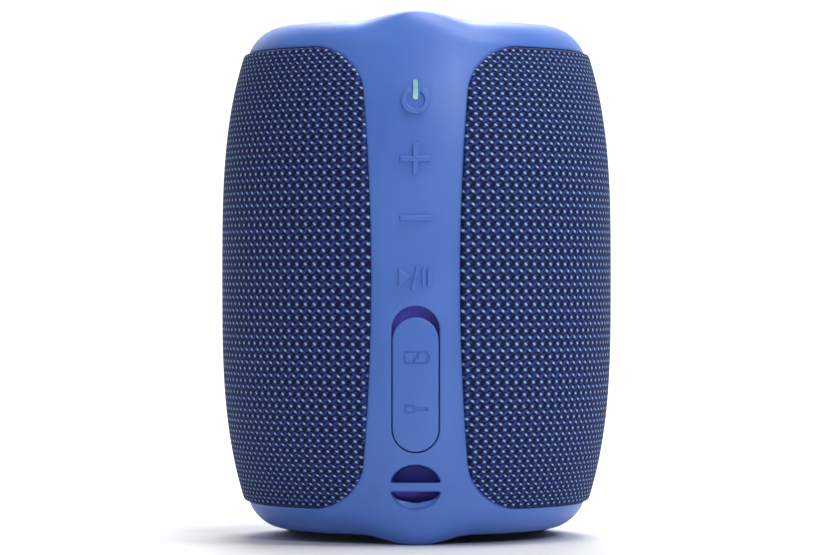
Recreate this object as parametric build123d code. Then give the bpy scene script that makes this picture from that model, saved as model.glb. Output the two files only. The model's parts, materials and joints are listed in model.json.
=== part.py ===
"""Portable two-driver speaker: a barrel that stands on one end.

The rubber spine with the buttons faces -Y, the drivers face +Y behind the cloth, and a passive radiator
sits in each end. Shapes are modelled about the barrel's middle, and save() lifts them onto the floor.
"""

import math
import os

from build123d import *

os.makedirs("parts", exist_ok=True)

# ---------------------------------------------------------------- driving dimensions, mm
HEIGHT = 144.0  # foot to foot
MIDDLE = HEIGHT / 2

BARREL_R = 54.25  # over the cloth, at the middle
BARREL_DROP = 5.85  # how much smaller that radius is BARREL_AT from the middle
BARREL_AT = 60.75
BARREL_POWER = 3.2
BARREL_POINTS = 9

# depths below the cloth's face
CLOTH_BACK = 0.9
CARRIER_FRONT = 0.95
CARRIER_BACK = 2.7
JACKET_FRONT = 1.2
JACKET_T = 1.2
JACKET_BACK = JACKET_FRONT + JACKET_T
PANEL_FRONT = JACKET_BACK + 0.05
PANEL_BACK = PANEL_FRONT + 2.2
FLANGE_FRONT = CARRIER_BACK + 0.1
ENCLOSURE_FRONT = 3.0
ENCLOSURE_BACK = 5.2

CLOTH_HALF = 62.0  # half the height of the cloth
SHELL_HALF = CLOTH_HALF + 1  # half the height of the layers that the cloth's outline is cut from
SEAM = 0.25  # gap round the cloth's edge
SPINE_WAIST = 12.3  # half width of the spine at the middle
SPINE_FLARE = 15.6  # half width it would have at the cloth's end
SPINE_CORNER_R = 12.0
PANEL_HALF_W = 16.8
PANEL_HALF_H = 55.8

# ends, as heights above the middle
CAP_FROM = CLOTH_HALF + 0.3
RIM_Z = 69.55
RIM_R = 37.5
RIM_INNER_R = 36.9
RECESS_R = 35.0
LIP_Z = 63.0
LOBE_RISE = 2.6
LOBE_SPREAD = 24  # degrees each side of a lobe's middle
LOBE_R = 39.4
LOBE_ANGLES = (-90, 30, 150)
LOFT_STEP = 4
LOFT_REACH = 28

ENCLOSURE_HALF = 56.0
PLATE_TOP = ENCLOSURE_HALF + 2.5
PLATE_R = 45.9
RING_FROM = PLATE_TOP + 0.1
RING_FLANGE_R = 34.9
RING_OUTER_R = 45.0
END_SCREW_R = 41.0
END_SCREW_ANGLES = (-35, 35, 145, 215)

BAY_FLOOR_Y = -32.0
BAY_BACK_Y = -30.0
BAY_HALF_W = 14.8
BAY_STEP_HALF_W = 17.0
BAY_OUTER_HALF_W = 19.2

RADIATOR_OPENING_R = 30.0
RADIATOR_FRAME_R = 34.7
RADIATOR_ROLL_OUT = 29.6
RADIATOR_ROLL_IN = 23.0
RADIATOR_ROLL_RISE = 3.0

# buttons
GLYPH_SIZE = 8.2
GLYPH_STROKE = 1.35
GLYPH_FRONT = 0.75
GLYPH_GAP = 0.15
PLAY_LEFT = -4.5
PLAY_POINT = -1.25
PLAY_HALF_H = 2.45
SLASH_W = 0.9
SLASH_LENGTH = 6.6
SLASH_LEAN = 13.5
PAUSE_XS = (2.2, 3.65)
PAUSE_W = 0.9
LIGHT_LENGTH = 5.5
LIGHT_W = 1.4
LIGHT_TIP_DEPTH = 0.8
PAD_FRONT = JACKET_BACK + 0.2
PAD_BACK = PAD_FRONT + 2.0
PAD_GAP = 0.4
BUTTON_PITCH = 15.8
LIGHT_Z = 3 * BUTTON_PITCH
POST_X = 7.2
BUTTON_BOARD_Y = -43.0  # front face
BUTTON_BOARD_HALF_W = 9.0
SWITCH_W = 5.0
SWITCH_Y = -45.0
TIP_Y = -45.6
TIP_END_Y = -43.9
POST_R = 1.6
TIP_R = 1.0
BOARD_T = 1.0

# ports and their flap
WELL_HALF_W = 6.5
WELL_TOP = -7.5
WELL_BOTTOM = -46.8
WELL_FLOOR_Y = -46.0
WELL_WALL = 1.3
SHELF_DEPTH = 4.6  # floor of the finger notch above the flap
SHELF_BOTTOM = -16.0
FLAP_GAP = 0.3
FLAP_TOP = -10.6
FLAP_FRONT = JACKET_FRONT + 0.05
FLAP_BACK = FLAP_FRONT + 2.3
FLAP_RIB_BACK = FLAP_BACK + 0.9
USB_Z = -21.3
USB_W = 8.94
USB_H = 3.26
AUX_Z = -35.0
AUX_R = 3.0
PORT_BOARD_Y = -38.0
PORT_BOARD_HALF_W = 11.0
PORT_POST_X = 9.6
PORT_POSTS = (-14.0, -42.0)

MAIN_BOARD_Y = -35.0  # front face
MAIN_SCREWS = [(x, z) for x in (-12.3, 12.3) for z in (6.0, 50.0)]

# strap recess
STRAP_Z = -56.0
STRAP_HALF_W = 7.05
STRAP_HALF_H = 6.1
STRAP_BAR = 2.35
STRAP_WALL = 1.3
STRAP_FLOOR_Y = -39.4

# drivers, facing +Y
DRIVER_Z = 27.0
BAFFLE_Y = 40.0
BAFFLE_T = 2.5
DRIVER_HOLE_R = 23.6
DRIVER_FLANGE_R = 25.6
CONE_R = 18.2
COIL_R = 7.0
DUST_CAP_R = 7.6
DUST_CAP_SPHERE = 16.6
DUST_CAP_FRONT = 37.6

BATTERY_R = 9.2
BATTERY_HALF = 32.5
BATTERY_Y = -18.5


# ---------------------------------------------------------------- helpers
def save(name, shape):
    """Writes one node, lifted so that the feet stand on z = 0."""
    placed = Pos(0, 0, MIDDLE) * shape
    export_step(Compound(children=list(placed.solids())), f"parts/{name}.step")


def barrel_r(z, depth=0.0):
    """Radius of the barrel at height z, this far below the cloth's face."""
    return BARREL_R - BARREL_DROP * (abs(z) / BARREL_AT) ** BARREL_POWER - depth


def barrel_edge(depth, low, high):
    heights = [low + (high - low) * i / (BARREL_POINTS - 1) for i in range(BARREL_POINTS)]
    return Spline(*[(barrel_r(z, depth), 0, z) for z in heights])


def line(a, b):
    return Line((a[0], 0, a[1]), (b[0], 0, b[1]))


def turned(edges, angle=360):
    """Solid of revolution about the barrel's axis from edges in the XZ plane."""
    return revolve(Face(Wire(edges)), Axis.Z, angle)


def turned_outline(points):
    """Solid of revolution about the barrel's axis from (radius, height) corners."""
    return turned([line(a, b) for a, b in zip(points, points[1:] + points[:1])])


def ring(r_in, r_out, low, high):
    """Plain ring about the barrel's axis."""
    return turned_outline([(r_in, low), (r_out, low), (r_out, high), (r_in, high)])


def barrel_solid(depth, low, high):
    a, b = barrel_r(low, depth), barrel_r(high, depth)
    return turned([barrel_edge(depth, low, high), line((b, high), (0, high)), line((0, high), (0, low)),
                   line((0, low), (a, low))])


def barrel_shell(front, back, low, high):
    """Layer of the barrel between two depths."""
    return turned([
        barrel_edge(front, low, high),
        line((barrel_r(high, front), high), (barrel_r(high, back), high)),
        barrel_edge(back, low, high),
        line((barrel_r(low, back), low), (barrel_r(low, front), low)),
    ])


def block(x, y, z):
    """Box from (low, high) pairs."""
    size = [b - a for a, b in (x, y, z)]
    middle = [(a + b) / 2 for a, b in (x, y, z)]
    return Pos(*middle) * Box(*size)


def rod(radius, y_from, y_to, x=0.0, z=0.0):
    """Cylinder along Y."""
    return Pos(x, (y_from + y_to) / 2, z) * Rot(90, 0, 0) * Cylinder(radius, abs(y_to - y_from))


def column(radius, low, high, x=0.0, y=0.0):
    """Cylinder along Z."""
    return Pos(x, y, (low + high) / 2) * Cylinder(radius, high - low)


def punch(sketch, y_from=-36.0, y_to=-60.0):
    """Prism along Y from a sketch whose x and y are the object's x and z."""
    return Pos(0, y_from, 0) * extrude(Plane.XZ * sketch, y_from - y_to)


def spun(points, z):
    """Solid of revolution about a driver's axis from (radius, y) corners."""
    return Pos(0, 0, z) * revolve(make_face(Polyline(*points, close=True)), Axis.Y)


def roll(r_in, r_out, base, rise, thickness):
    """Half-roll section in the XY plane, from r_in to r_out, bulging towards +Y."""
    middle = (r_in + r_out) / 2
    under = ThreePointArc((r_in, base), (middle, base + rise - thickness), (r_out, base))
    over = ThreePointArc((r_in, base + thickness), (middle, base + rise), (r_out, base + thickness))
    return Face(Wire([under, Line((r_out, base), (r_out, base + thickness)), over,
                      Line((r_in, base + thickness), (r_in, base))]))


def lead(radius, bend, *points):
    """Round wire along straight runs joined by arcs of one radius."""
    path = FilletPolyline(*points, radius=bend)
    return sweep(Plane(path @ 0, z_dir=path % 0) * Circle(radius), path=path)


# ---------------------------------------------------------------- outlines seen from the front
def cloth_region(margin=0.0):
    """Space behind the cloth, grown by a margin: both sides of the spine and the whole back."""
    half = CLOTH_HALF + margin
    reach = BARREL_R + 10
    waist, flare = SPINE_WAIST - margin, SPINE_FLARE - margin
    side = ThreePointArc((flare, -half), (waist, 0), (flare, half))
    rest = Polyline((flare, half), (reach, half), (reach, -half), (flare, -half))
    face = make_face(side + rest)
    corners = face.vertices().sort_by(Axis.X)[:2]
    right = punch(fillet(corners, SPINE_CORNER_R + margin), 0, -reach)
    return right + mirror(right, about=Plane.YZ) + block((-reach, reach), (0, reach), (-half, half))


def pill(half_w, top, bottom):
    """Upright slot with round ends."""
    return Pos(0, (top + bottom) / 2) * SlotOverall(top - bottom, 2 * half_w, rotation=90)


def plus_glyph(grow=0.0):
    length, stroke = GLYPH_SIZE + 2 * grow, GLYPH_STROKE + 2 * grow
    return Rectangle(length, stroke) + Rectangle(stroke, length)


def minus_glyph(grow=0.0):
    return Sketch() + Rectangle(GLYPH_SIZE + 2 * grow, GLYPH_STROKE + 2 * grow)


def ring_glyph(grow=0.0):
    """Broken ring of the power sign, open at the top."""
    outer = GLYPH_SIZE / 2
    half_gap = math.radians(30) - grow / outer
    reach = 2 * outer
    side = reach * math.tan(half_gap)
    mouth = Polygon((0, 0), (side, reach), (-side, reach), align=None)
    return Circle(outer + grow) - Circle(outer - GLYPH_STROKE - grow) - mouth


def light_glyph(grow=0.0):
    """Light bar of the power sign, from its middle upwards."""
    return Pos(0, LIGHT_LENGTH / 2) * SlotOverall(LIGHT_LENGTH + 2 * grow, LIGHT_W + 2 * grow, rotation=90)


def play_glyph(grow=0.0):
    """Solid play triangle, slash and pause bars."""
    tall = PLAY_HALF_H + 1.8 * grow
    left, point = PLAY_LEFT - grow, PLAY_POINT + 2 * grow
    triangle = Polygon((left, -tall), (point, 0), (left, tall), align=None)
    slash = Rot(0, 0, -SLASH_LEAN) * Rectangle(SLASH_W + 2 * grow, SLASH_LENGTH + 2 * grow)
    bars = [Pos(x, 0) * Rectangle(PAUSE_W + 2 * grow, 2 * PLAY_HALF_H + 2 * grow) for x in PAUSE_XS]
    return Sketch() + triangle + slash + bars


def strap_outline(grow=0.0):
    return Pos(0, STRAP_Z) * Ellipse(STRAP_HALF_W + grow, STRAP_HALF_H + grow)


def strap_bar():
    return block((-2 * STRAP_HALF_W, 2 * STRAP_HALF_W), (-60, -36),
                 (STRAP_Z - STRAP_BAR / 2, STRAP_Z + STRAP_BAR / 2))


# name: glyph, its height, the pad's height and radius, the post's height
BUTTONS = {
    "power": (ring_glyph, 3 * BUTTON_PITCH, 3 * BUTTON_PITCH + 0.7, 5.7, 3 * BUTTON_PITCH - 1.9),
    "volume_up": (plus_glyph, 2 * BUTTON_PITCH, 2 * BUTTON_PITCH, 5.3, 2 * BUTTON_PITCH),
    "volume_down": (minus_glyph, BUTTON_PITCH, BUTTON_PITCH, 5.3, BUTTON_PITCH),
    "play_pause": (play_glyph, 0.0, 0.0, 5.6, 0.0),
}


# ---------------------------------------------------------------- jacket and what it is stretched over
def cap_slope():
    """How fast the barrel's radius shrinks with height where the cap starts."""
    return -BARREL_POWER * BARREL_DROP / BARREL_AT * (CAP_FROM / BARREL_AT) ** (BARREL_POWER - 1)


def cap_inside(gap=0.0):
    """Edge of the cap's inner face, from the rim down to the cloth's end."""
    low_r = barrel_r(CAP_FROM, JACKET_BACK + gap)
    return Spline((RIM_R, 0, RIM_Z - JACKET_T - gap), (low_r, 0, CAP_FROM),
                  tangents=[(1, 0, 0), (-cap_slope(), 0, -1)])


def jacket_section(angle, rise):
    """Closed section of the jacket's upper half, with the rim lifted by this share of a lobe's height."""
    skin_r, skin_back_r = barrel_r(0, JACKET_FRONT), barrel_r(0, JACKET_BACK)
    cap_r = barrel_r(CAP_FROM, JACKET_FRONT)
    top_r, top_z = RIM_R + (LOBE_R - RIM_R) * rise, RIM_Z + LOBE_RISE * rise
    round_r = RIM_INNER_R - RECESS_R
    bend = round_r * math.sqrt(0.5)
    round_z = top_z - round_r
    wall_r = RECESS_R + JACKET_T
    under_z = RIM_Z - JACKET_T
    return Rot(0, 0, angle) * Wire([
        barrel_edge(JACKET_FRONT, 0, CAP_FROM),
        Spline((cap_r, 0, CAP_FROM), (top_r, 0, top_z), tangents=[(cap_slope(), 0, 1), (-1, 0, 0)]),
        line((top_r, top_z), (RIM_INNER_R, top_z)),
        ThreePointArc((RIM_INNER_R, 0, top_z), (RIM_INNER_R - bend, 0, round_z + bend),
                      (RECESS_R, 0, round_z)),
        line((RECESS_R, round_z), (RECESS_R, LIP_Z)),
        line((RECESS_R, LIP_Z), (wall_r, LIP_Z)),
        line((wall_r, LIP_Z), (wall_r, under_z)),
        line((wall_r, under_z), (RIM_R, under_z)),
        cap_inside(),
        barrel_edge(JACKET_BACK, 0, CAP_FROM),
        line((skin_back_r, 0), (skin_r, 0)),
    ])


def jacket_half():
    """Upper half of the jacket all round: a lofted lobe and a turned stretch, three times."""
    steps = range(-LOFT_REACH, LOFT_REACH + 1, LOFT_STEP)
    rises = [math.cos(math.pi / 2 * min(abs(a) / LOBE_SPREAD, 1)) ** 2 for a in steps]
    lobe = Solid.make_loft([jacket_section(a, rise) for a, rise in zip(steps, rises)])
    between = revolve(Face(jacket_section(LOFT_REACH, 0)), Axis.Z, 120 - 2 * LOFT_REACH)
    pieces = [Rot(0, 0, a) * piece for a in LOBE_ANGLES for piece in (lobe, between)]
    return pieces[0].fuse(*pieces[1:])


def rubber_jacket():
    """The jacket: both caps and the spine between them, open where the cloth is."""
    half = jacket_half()
    jacket = Part() + half + mirror(half, about=Plane.XY) - cloth_region(SEAM)
    for glyph, z, _, _, _ in BUTTONS.values():
        jacket -= punch(Pos(0, z) * glyph(GLYPH_GAP))
    jacket -= punch(Pos(0, LIGHT_Z) * light_glyph(GLYPH_GAP))
    jacket -= punch(pill(WELL_HALF_W, WELL_TOP, WELL_BOTTOM))
    jacket -= punch(strap_outline()) - strap_bar()
    return jacket & block((-60, 60), (-60, 60), (-MIDDLE, MIDDLE))


def strap_envelope(gap=0.1):
    """Space the strap cup takes out of its neighbours."""
    return punch(strap_outline(STRAP_WALL + gap), STRAP_FLOOR_Y + STRAP_WALL + gap)


def strap_cup():
    """Cup behind the strap bar, with the bar's backing across its mouth."""
    foot = -CAP_FROM + 0.05
    space = barrel_solid(PANEL_FRONT, foot, -45) + column(RING_OUTER_R - 0.3, -65, foot)
    cup = punch(strap_outline(STRAP_WALL), STRAP_FLOOR_Y + STRAP_WALL)
    inner = extrude(Plane.XZ.offset(-STRAP_FLOOR_Y) * strap_outline(-0.9), 20, taper=-5)
    inner = inner + punch(strap_outline(), -44.5)
    backing = strap_bar() & barrel_shell(PANEL_FRONT, PANEL_BACK, -58, -54)
    return ((cup - inner) + (backing & cup)) & space


def spine_panel():
    """Moulded panel under the rubber: flanges, button holes, port well and board posts."""
    tall = barrel_shell(PANEL_FRONT, PANEL_BACK, -PANEL_HALF_H, PANEL_HALF_H)
    wide = barrel_shell(FLANGE_FRONT, PANEL_BACK, -PANEL_HALF_H, PANEL_HALF_H)
    front = block((-PANEL_HALF_W, PANEL_HALF_W), (-60, 0), (-60, 60))
    panel = (tall - cloth_region(SEAM + 0.1)) + (wide & front)
    well = pill(WELL_HALF_W + WELL_WALL, WELL_TOP + WELL_WALL, WELL_BOTTOM - WELL_WALL)
    panel += punch(well, WELL_FLOOR_Y + WELL_WALL) & barrel_solid(PANEL_FRONT + 0.8, -50, 0)
    hollow = punch(pill(WELL_HALF_W, WELL_TOP, WELL_BOTTOM), WELL_FLOOR_Y)
    panel -= hollow - barrel_shell(SHELF_DEPTH, SHELF_DEPTH + 2.0, SHELF_BOTTOM, 0)
    panel -= punch(Pos(0, USB_Z) * SlotOverall(USB_W + 0.2, USB_H + 0.2))
    panel -= rod(AUX_R + 0.1, -40, -50, z=AUX_Z)
    for _, _, z, radius, _ in BUTTONS.values():
        panel -= rod(radius + PAD_GAP, -36, -60, z=z)
    posts = [rod(POST_R, BUTTON_BOARD_Y, -60, x, z) for x in (-POST_X, POST_X) for z in button_board_posts()]
    posts += [rod(POST_R, PORT_BOARD_Y, -60, x, z) for x in (-PORT_POST_X, PORT_POST_X) for z in PORT_POSTS]
    for post in posts:
        panel += post & barrel_solid(PANEL_BACK - 1, -52, 52)
    for x, y, z in board_screw_places():
        panel -= rod(0.8, y + 3, y - 3.6, x, z)
    return panel - strap_envelope()


def button_board_posts():
    return [BUTTON_PITCH * (i + 0.5) for i in range(3)]


def board_screw_places():
    """Front-face points of the screws that hold the two small boards to the panel."""
    places = [(x, BUTTON_BOARD_Y, z) for x in (-POST_X, POST_X) for z in button_board_posts()[::2]]
    return places + [(x, PORT_BOARD_Y, z) for x in (-PORT_POST_X, PORT_POST_X) for z in PORT_POSTS]


def end_ring():
    """Firm ring under the jacket's cap, with screw counterbores and a lightening groove."""
    wall_r = RECESS_R + JACKET_T + 0.05
    under_z = RIM_Z - JACKET_T - 0.05
    low_r = barrel_r(CAP_FROM, JACKET_BACK + 0.05)
    body = turned([
        line((RING_FLANGE_R, RING_FROM), (RING_OUTER_R, RING_FROM)),
        line((RING_OUTER_R, RING_FROM), (RING_OUTER_R, CAP_FROM)),
        line((RING_OUTER_R, CAP_FROM), (low_r, CAP_FROM)),
        cap_inside(0.05),
        line((RIM_R, under_z), (wall_r, under_z)),
        line((wall_r, under_z), (wall_r, LIP_Z - 0.05)),
        line((wall_r, LIP_Z - 0.05), (RING_FLANGE_R, LIP_Z - 0.05)),
        line((RING_FLANGE_R, LIP_Z - 0.05), (RING_FLANGE_R, RING_FROM)),
    ])
    groove = ring(38.8, 42.6, RING_FROM - 1, RIM_Z - 5)
    for x, y in end_screw_spots():
        groove -= column(4.2, 50, 70, x, y)
        body -= column(1.6, 50, 70, x, y) + column(3.0, RING_FROM + 2.4, 70, x, y)
    return body - groove


def end_screw_spots():
    angles = [math.radians(a) for a in END_SCREW_ANGLES]
    return [(END_SCREW_R * math.cos(a), END_SCREW_R * math.sin(a)) for a in angles]


def end_plate():
    """Plate that closes the enclosure's end and carries the passive radiator."""
    plate = ring(RADIATOR_OPENING_R, PLATE_R, ENCLOSURE_HALF + 0.05, PLATE_TOP)
    for x, y in end_screw_spots():
        plate -= column(1.6, 50, 60, x, y)
    return plate


def end_screws():
    top = [column(1.4, 50, RING_FROM + 2.5, x, y) + column(2.6, RING_FROM + 2.45, RING_FROM + 4.2, x, y)
           for x, y in end_screw_spots()]
    return Compound(children=top + [mirror(screw, about=Plane.XY) for screw in top])


# ---------------------------------------------------------------- grille
def grille_cloth():
    return barrel_shell(0, CLOTH_BACK, -SHELL_HALF, SHELL_HALF) & cloth_region()


def grille_carrier():
    """Stiff carrier of the cloth, slotted in front of the drivers."""
    carrier = barrel_shell(CARRIER_FRONT, CARRIER_BACK, -SHELL_HALF, SHELL_HALF) & cloth_region()
    for centre in (-DRIVER_Z, DRIVER_Z):
        for i in range(-4, 5):
            x = 5.0 * i
            half = math.sqrt(22.5 ** 2 - x ** 2)
            carrier -= block((x - 1.7, x + 1.7), (30, 60), (centre - half, centre + half))
    return carrier


# ---------------------------------------------------------------- buttons
def button(name):
    """Rubber key: a raised glyph, the pad behind the jacket and the post that meets the switch."""
    glyph, z, pad_z, radius, post_z = BUTTONS[name]
    low, high = pad_z - 7, pad_z + 7
    key = punch(Pos(0, z) * glyph()) & barrel_shell(GLYPH_FRONT, PAD_FRONT + 0.5, low, high)
    key += punch(Pos(0, pad_z) * Circle(radius)) & barrel_shell(PAD_FRONT, PAD_BACK, low, high)
    key += rod(POST_R, TIP_Y, -60, z=post_z) & barrel_solid(PAD_BACK - 0.5, low, high)
    if name == "power":
        key -= punch(Pos(0, z) * light_glyph(0.05))
    return key


def light_pipe():
    space = barrel_shell(GLYPH_FRONT, PAD_BACK + LIGHT_TIP_DEPTH, LIGHT_Z - 2, LIGHT_Z + 8)
    return punch(Pos(0, LIGHT_Z) * light_glyph()) & space


def plunger(name):
    return rod(TIP_R, TIP_Y + 0.05, TIP_END_Y, z=BUTTONS[name][4])


def switch_bodies():
    half = SWITCH_W / 2
    bodies = [block((-half, half), (SWITCH_Y, BUTTON_BOARD_Y - 0.05), (z - half, z + half))
              - rod(TIP_R + 0.3, SWITCH_Y - 1, BUTTON_BOARD_Y - 0.4, z=z)
              for _, _, _, _, z in BUTTONS.values()]
    return Compound(children=bodies)


def button_board():
    thick = (BUTTON_BOARD_Y, BUTTON_BOARD_Y + BOARD_T)
    board = block((-BUTTON_BOARD_HALF_W, BUTTON_BOARD_HALF_W), thick, (-5, 53))
    for x, y, z in board_screw_places()[:4]:
        board -= rod(0.9, y - 1, y + 2, x, z)
    return board


# ---------------------------------------------------------------- ports
def port_flap():
    """Rubber flap over the sockets, with a sealing rib behind it and sunk pictograms on it."""
    low, high = WELL_BOTTOM + FLAP_GAP, FLAP_TOP
    half = WELL_HALF_W - FLAP_GAP
    flap = punch(pill(half, high, low)) & barrel_shell(FLAP_FRONT, FLAP_BACK, low - 1, high + 1)
    rib = pill(half - 1.0, high - 1.5, low + 4.5) - pill(half - 1.9, high - 2.4, low + 5.4)
    flap += punch(rib) & barrel_shell(FLAP_BACK - 0.5, FLAP_RIB_BACK, low - 1, high + 1)
    signs = battery_sign() + jack_sign()
    return flap - (punch(signs) - barrel_solid(FLAP_FRONT + 0.25, low - 1, high + 1))


def battery_sign():
    """Outline of a battery with a spark in it."""
    case = Rectangle(6.4, 3.4) - Rectangle(5.6, 2.6) + Pos(3.5, 0) * Rectangle(0.6, 1.4)
    spark = Polygon((0.5, 1.0), (-0.9, -0.2), (-0.05, -0.2), (-0.5, -1.0), (0.9, 0.2), (0.05, 0.2),
                    align=None)
    return Pos(0, USB_Z) * (Sketch() + case + spark)


def jack_sign():
    """Outline of an audio jack plug lying on its side."""
    body = Pos(-1.7, 0) * (Rectangle(2.8, 2.2) - Rectangle(2.0, 1.4))
    pin = Pos(1.2, 0) * Rectangle(3.0, 0.9) + Pos(3.0, 0) * Rectangle(0.5, 0.9)
    return Pos(0, AUX_Z) * (Sketch() + body + pin)


def flap_tether():
    """Thin hairpin strip from the back of the flap to the floor of the well."""
    low, high = -44.2, -40.4
    front, back = WELL_FLOOR_Y - 1.9, WELL_FLOOR_Y - 0.05
    middle = (front + back) / 2
    outer = (back - front) / 2
    inner = outer - 0.5
    bend = Pos(0, middle, high) * Rot(0, 90, 0)
    legs = block((-2, 2), (front, back), (low, high)) + bend * Cylinder(outer, 4)
    hollow = block((-3, 3), (middle - inner, middle + inner), (low - 1, high))
    return legs - hollow - bend * Cylinder(inner, 6)


def usb_socket():
    """Steel shell with its contact tongue."""
    shell = punch(Pos(0, USB_Z) * SlotOverall(USB_W, USB_H), PORT_BOARD_Y - 0.05, WELL_FLOOR_Y)
    inside = Pos(0, USB_Z) * SlotOverall(USB_W - 0.6, USB_H - 0.6)
    mouth = punch(inside, PORT_BOARD_Y - 0.8, WELL_FLOOR_Y - 1)
    tongue = block((-3.35, 3.35), (WELL_FLOOR_Y + 0.7, PORT_BOARD_Y - 0.5), (USB_Z - 0.35, USB_Z + 0.35))
    return shell - mouth + tongue


def aux_socket():
    deep = (WELL_FLOOR_Y + WELL_WALL + 0.05, PORT_BOARD_Y - 0.05)
    body = block((-3.3, 3.3), deep, (AUX_Z - 3.2, AUX_Z + 3.2))
    nose = rod(AUX_R, WELL_FLOOR_Y, WELL_FLOOR_Y + WELL_WALL + 0.5, z=AUX_Z)
    return body + nose - rod(1.8, WELL_FLOOR_Y - 1, PORT_BOARD_Y - 0.8, z=AUX_Z)


def port_board():
    thick = (PORT_BOARD_Y, PORT_BOARD_Y + BOARD_T)
    board = block((-PORT_BOARD_HALF_W, PORT_BOARD_HALF_W), thick, (-45, -11))
    for x, y, z in board_screw_places()[4:]:
        board -= rod(0.9, y - 1, y + 2, x, z)
    return board


def board_screws():
    screws = [rod(0.7, y + BOARD_T, y - 3.2, x, z) + rod(1.3, y + BOARD_T + 0.05, y + BOARD_T + 0.9, x, z)
              for x, y, z in board_screw_places()]
    screws += [rod(0.9, MAIN_BOARD_Y - 0.05, BAY_FLOOR_Y + 1.0, x, z)
               + rod(1.7, MAIN_BOARD_Y - 1.0, MAIN_BOARD_Y - 0.05, x, z) for x, z in MAIN_SCREWS]
    return Compound(children=screws)


# ---------------------------------------------------------------- enclosure and electronics
def enclosure():
    """Sealed chamber with a flat baffle behind and an open bay for the boards in front."""
    everywhere = (-60, 60)
    inside = barrel_solid(ENCLOSURE_BACK, -57, 57)
    inside &= block(everywhere, (-60, BAFFLE_Y - BAFFLE_T), everywhere)
    bay_deep = block((-BAY_STEP_HALF_W, BAY_STEP_HALF_W), (-60, BAY_BACK_Y), everywhere)
    bay_wide = block((-BAY_OUTER_HALF_W, BAY_OUTER_HALF_W), (-60, BAY_BACK_Y), everywhere)
    inside = inside - bay_deep - (bay_wide - barrel_solid(PANEL_BACK + 2.2, -58, 58))
    for a in END_SCREW_ANGLES:
        boss = block((37.8, 50), (-3.2, 3.2), (44, 57))
        inside -= Rot(0, 0, a) * (boss + mirror(boss, about=Plane.XY))
    body = barrel_solid(ENCLOSURE_FRONT, -ENCLOSURE_HALF, ENCLOSURE_HALF)
    body = (body & block(everywhere, (-60, BAFFLE_Y), everywhere)) - inside
    body -= block((-BAY_HALF_W, BAY_HALF_W), (-60, BAY_FLOOR_Y), everywhere)
    step = block((-BAY_STEP_HALF_W, BAY_STEP_HALF_W), (-60, BAY_FLOOR_Y), everywhere)
    body -= step - barrel_solid(PANEL_BACK + 0.05, -58, 58)
    for z in (-DRIVER_Z, DRIVER_Z):
        body -= rod(DRIVER_HOLE_R, 30, 50, z=z)
    for x, y in end_screw_spots():
        body -= column(1.45, 48, 60, x, y) + column(1.45, -60, -48, x, y)
    for x, z in MAIN_SCREWS:
        body += rod(2.2, MAIN_BOARD_Y + BOARD_T + 0.05, BAY_FLOOR_Y + 0.1, x, z)
        body -= rod(0.95, MAIN_BOARD_Y, BAY_FLOOR_Y + 1.1, x, z)
    for x, z in driver_screw_spots():
        body -= rod(0.95, BAFFLE_Y - BAFFLE_T + 0.4, BAFFLE_Y + 1, x, z)
    return body - strap_envelope()


def main_board():
    board = block((-14.3, 14.3), (MAIN_BOARD_Y, MAIN_BOARD_Y + BOARD_T), (2, 54))
    for x, z in MAIN_SCREWS:
        board -= rod(1.0, MAIN_BOARD_Y - 1, MAIN_BOARD_Y + 2, x, z)
    return board


def board_components():
    """Chips, coils, capacitors and connectors on the main board."""
    face = MAIN_BOARD_Y - 0.05
    chips = [(-7, 20, 7, 7, 1.0), (6.5, 34.5, 5, 5, 0.9), (-8, 34, 4, 6, 1.6), (8, 12, 4.5, 3, 1.2),
             (0, 7.5, 6, 4, 3.0)]
    shapes = [block((x - w / 2, x + w / 2), (face - t, face), (z - h / 2, z + h / 2))
              for x, z, w, h, t in chips]
    coils = [(-4.5, 28), (0.5, 28), (8.5, 28.5)]
    shapes += [block((x - 2, x + 2), (face - 2.0, face), (z - 2, z + 2)) for x, z in coils]
    shapes += [rod(2.0, face, face - 3.6, x, z) for x, z in ((6, 20), (11.3, 20))]
    shapes += [block((x - 0.5, x + 0.5), (face - 0.5, face), (z - 0.3, z + 0.3))
               for x in (-2, 0, 2) for z in (14, 16, 18, 38)]
    return Compound(children=shapes)


def rf_shield():
    face = MAIN_BOARD_Y - 0.05
    can = block((-8, 6), (face - 2.2, face), (41, 52.5))
    return can - block((-7.7, 5.7), (face - 1.9, face + 1), (41.3, 52.2))


def battery_cell():
    body = column(BATTERY_R, -BATTERY_HALF, BATTERY_HALF, 0, BATTERY_Y)
    return body + column(3.2, BATTERY_HALF, BATTERY_HALF + 0.8, 0, BATTERY_Y)


def battery_bracket():
    """Two saddles that clip the cell to the back of the bay."""
    wall = BAY_BACK_Y + 0.05
    back = block((-12, 12), (wall, BATTERY_Y), (-26, 26)) - block((-13, 13), (-40, 0), (-18, 18))
    back += block((-6, 6), (wall, wall + 1.35), (-26, 26))
    return back - column(BATTERY_R + 0.1, -40, 40, 0, BATTERY_Y)


# ---------------------------------------------------------------- drivers
def driver_screw_spots():
    reach = DRIVER_FLANGE_R + 0.9
    return [(reach * math.cos(math.radians(a)) * side, z + reach * math.sin(math.radians(a)) * sign)
            for z, sign in ((DRIVER_Z, 1), (-DRIVER_Z, -1)) for side in (-1, 1) for a in (-24, 24)]


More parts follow.
